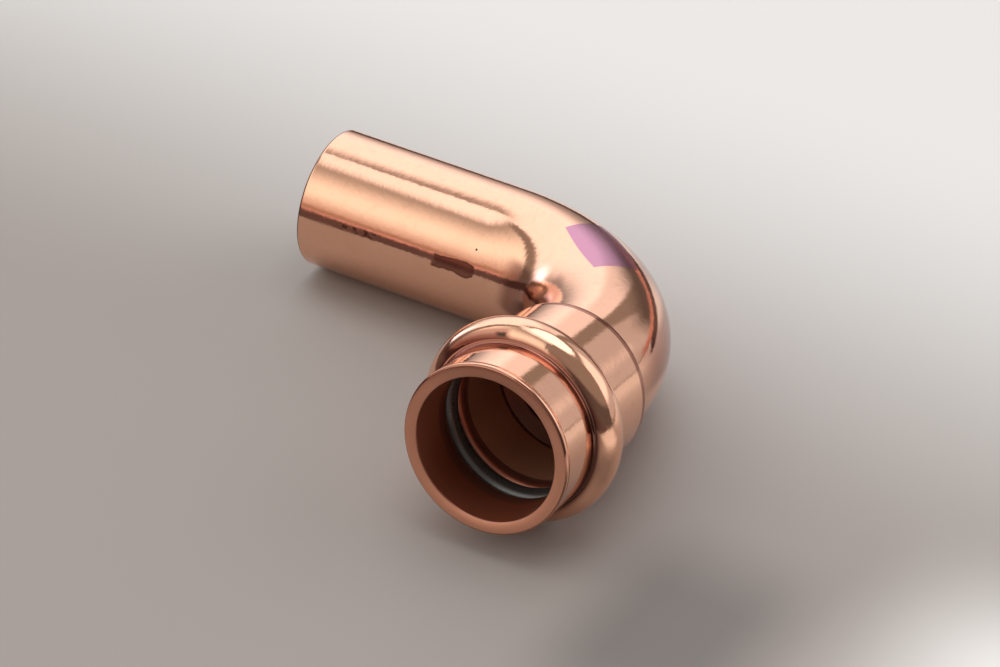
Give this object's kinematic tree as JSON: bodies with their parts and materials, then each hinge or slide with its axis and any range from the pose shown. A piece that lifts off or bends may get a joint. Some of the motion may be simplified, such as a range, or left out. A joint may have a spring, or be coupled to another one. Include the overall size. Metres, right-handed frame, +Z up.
{
  "type": "press fit pipe elbow",
  "caption": "Right-angled copper press fit elbow with a plain pipe end, a tight bend and a beaded socket that holds a rubber sealing ring.",
  "frame": {"origin": "centre of the socket's mouth, on the socket's axis", "axes": "the socket opens towards -Y, the plain end leaves the bend along -X, and +Z is up; the plane of the two centre lines is z = 0"},
  "size_m": [0.0501, 0.0452, 0.0216],
  "materials": {
    "copper": "polished copper, bare",
    "seal": "smooth black rubber"
  },
  "bodies": {
    "root": {"fitting_body": "copper", "sealing_ring": "seal"}
  },
  "joints": []
}
